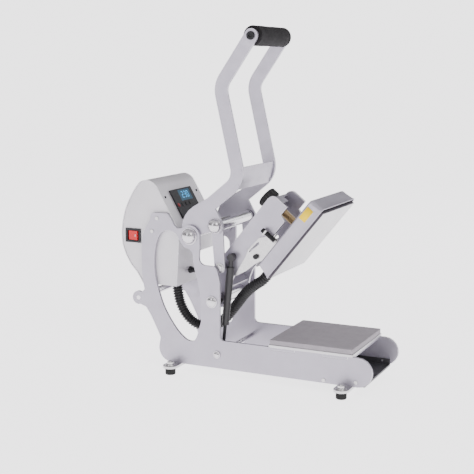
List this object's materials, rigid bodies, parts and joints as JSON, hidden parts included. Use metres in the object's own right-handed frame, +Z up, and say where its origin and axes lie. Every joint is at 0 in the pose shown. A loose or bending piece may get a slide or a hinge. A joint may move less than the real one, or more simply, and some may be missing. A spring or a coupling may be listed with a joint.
{
  "type": "clamshell heat transfer press",
  "caption": "Small clamshell heat transfer press with a bent two-arm lever handle, gas strut, control box and a flat platen over a silicone pad, shown open.",
  "frame": {"origin": "centre of the footprint, on the surface the rubber feet stand on", "axes": "+Z up, -Y towards the front end with the pad, +X to the operator's right; the gas strut and mains switch are on the -X side"},
  "size_m": [0.208, 0.465, 0.5905],
  "materials": {
    "silver_powder_coat": "satin metallic powder coat",
    "zinc_plate": "bright zinc plate",
    "polished_steel": "polished",
    "dark_paint": "satin dark paint",
    "black_steel": "black oxide",
    "black_foam": "matt moulded grip",
    "black_rubber": "matt",
    "grey_silicone": "matt silicone sponge",
    "black_plastic": "fine grained",
    "conduit_plastic": "corrugated, slight sheen",
    "key_plastic": "matt",
    "red_plastic": "glossy translucent",
    "display_window": "glossy window over a lit display",
    "circuit_board": "board with components",
    "bronze": "machined bronze",
    "element_sheath": "heat tinted sheath",
    "glass_wool": "woven fibre board"
  },
  "bodies": {
    "frame": {"side_plate_left": "silver_powder_coat", "side_plate_right": "silver_powder_coat", "base_bridge": "silver_powder_coat", "front_floor": "dark_paint", "foot_bracket_front": "zinc_plate", "foot_bracket_rear": "zinc_plate", "rubber_feet": "black_rubber", "foot_bolts": "zinc_plate", "lower_platen": "silver_powder_coat", "silicone_pad": "grey_silicone", "rear_tie_rod": "polished_steel", "main_pivot_shaft": "polished_steel", "hinge_shaft": "polished_steel", "strut_pin": "polished_steel", "frame_screws": "zinc_plate", "control_box_wrap": "silver_powder_coat", "control_box_side_left": "silver_powder_coat", "control_box_side_right": "silver_powder_coat", "control_box_floor": "silver_powder_coat", "controller": "black_plastic", "controller_screws": "black_steel", "display": "display_window", "rocker_bezel": "black_plastic", "relay_board": "circuit_board", "cable_gland": "black_plastic", "sensor_lead": "conduit_plastic", "conduit": "conduit_plastic"},
    "handle": {"handle_arm_left": "silver_powder_coat", "handle_arm_right": "silver_powder_coat", "handle_stiffener": "silver_powder_coat", "grip": "black_foam", "grip_screws": "black_steel", "toggle_tube": "polished_steel", "toggle_bolts": "polished_steel"},
    "links": {"link_left": "silver_powder_coat", "link_right": "silver_powder_coat", "link_bolts": "polished_steel"},
    "swing_arm": {"cheek_left": "silver_powder_coat", "cheek_right": "silver_powder_coat", "swing_web": "silver_powder_coat", "swing_hinge_tube": "polished_steel", "toggle_bosses": "polished_steel", "strut_stud": "polished_steel"},
    "spindle": {"pressure_spindle": "bronze", "pressure_knob": "black_plastic"},
    "platen": {"platen_cover": "silver_powder_coat", "heat_slab": "zinc_plate", "heating_element": "element_sheath", "insulation": "glass_wool", "platen_hub": "polished_steel", "platen_bracket": "zinc_plate", "platen_studs": "black_steel", "conduit_ferrule": "black_plastic"},
    "strut_lower": {"strut_rod": "black_steel"},
    "strut_upper": {"strut_cylinder": "dark_paint"},
    "rocker": {"rocker_switch": "red_plastic"},
    "set_key": {"button_set": "red_plastic"},
    "down_key": {"button_down": "key_plastic"},
    "up_key": {"button_up": "key_plastic"},
    "mode_key": {"button_mode": "key_plastic"}
  },
  "joints": [
    {"name": "handle_hinge", "type": "hinge", "parent": "frame", "child": "handle", "pos_m": [0, 0.095, 0.241], "axis": [1, 0, 0], "range_deg": [0, 67.72]},
    {"name": "link_hinge", "type": "hinge", "parent": "handle", "child": "links", "pos_m": [0, 0.049, 0.261], "axis": [1, 0, 0], "range_deg": [-114.69, 0]},
    {"name": "swing_hinge", "type": "hinge", "parent": "frame", "child": "swing_arm", "pos_m": [0, 0.053, 0.131], "axis": [1, 0, 0], "range_deg": [0, 51], "deforming": ["conduit"]},
    {"name": "strut_foot_hinge", "type": "hinge", "parent": "frame", "child": "strut_lower", "pos_m": [-0.05165, 0.0435, 0.04], "axis": [1, 0, 0], "range_deg": [0, 23.31]},
    {"name": "strut_slide", "type": "slide", "parent": "strut_lower", "child": "strut_upper", "axis": [0, -0.1005, 0.9949], "range_m": [-0.0323, 0]},
    {"name": "platen_lift", "type": "slide", "parent": "swing_arm", "child": "platen", "axis": [0, 0.7771, 0.6293], "range_m": [0, 0.004]},
    {"name": "spindle_turn", "type": "hinge", "parent": "swing_arm", "child": "spindle", "pos_m": [0, -0.0452, 0.28246], "axis": [0, 0.7771, 0.6293], "range_deg": [0, 720.1]},
    {"name": "rocker_tilt", "type": "hinge", "parent": "frame", "child": "rocker", "pos_m": [-0.0637, 0.209, 0.234], "axis": [0, 0, 1], "range_deg": [0, 12]},
    {"name": "set_press", "type": "slide", "parent": "frame", "child": "set_key", "axis": [0, 0.8661, -0.4998], "range_m": [0, 0.0008], "stiffness_N_per_m": 900, "springref_m": -0.0012},
    {"name": "down_press", "type": "slide", "parent": "frame", "child": "down_key", "axis": [0, 0.8661, -0.4998], "range_m": [0, 0.0008], "stiffness_N_per_m": 900, "springref_m": -0.0012},
    {"name": "up_press", "type": "slide", "parent": "frame", "child": "up_key", "axis": [0, 0.8661, -0.4998], "range_m": [0, 0.0008], "stiffness_N_per_m": 900, "springref_m": -0.0012},
    {"name": "mode_press", "type": "slide", "parent": "frame", "child": "mode_key", "axis": [0, 0.8661, -0.4998], "range_m": [0, 0.0008], "stiffness_N_per_m": 900, "springref_m": -0.0012}
  ],
  "couplings": [
    {"joint": "link_hinge", "follows": "handle_hinge", "ratio": -1.6935},
    {"joint": "swing_hinge", "follows": "handle_hinge", "ratio": 0.75309},
    {"joint": "strut_foot_hinge", "follows": "handle_hinge", "ratio": 0.34409},
    {"joint": "strut_slide", "follows": "handle_hinge", "m_per_rad": -0.02724},
    {"joint": "spindle_turn", "follows": "platen_lift", "rad_per_m": 3141.6}
  ]
}
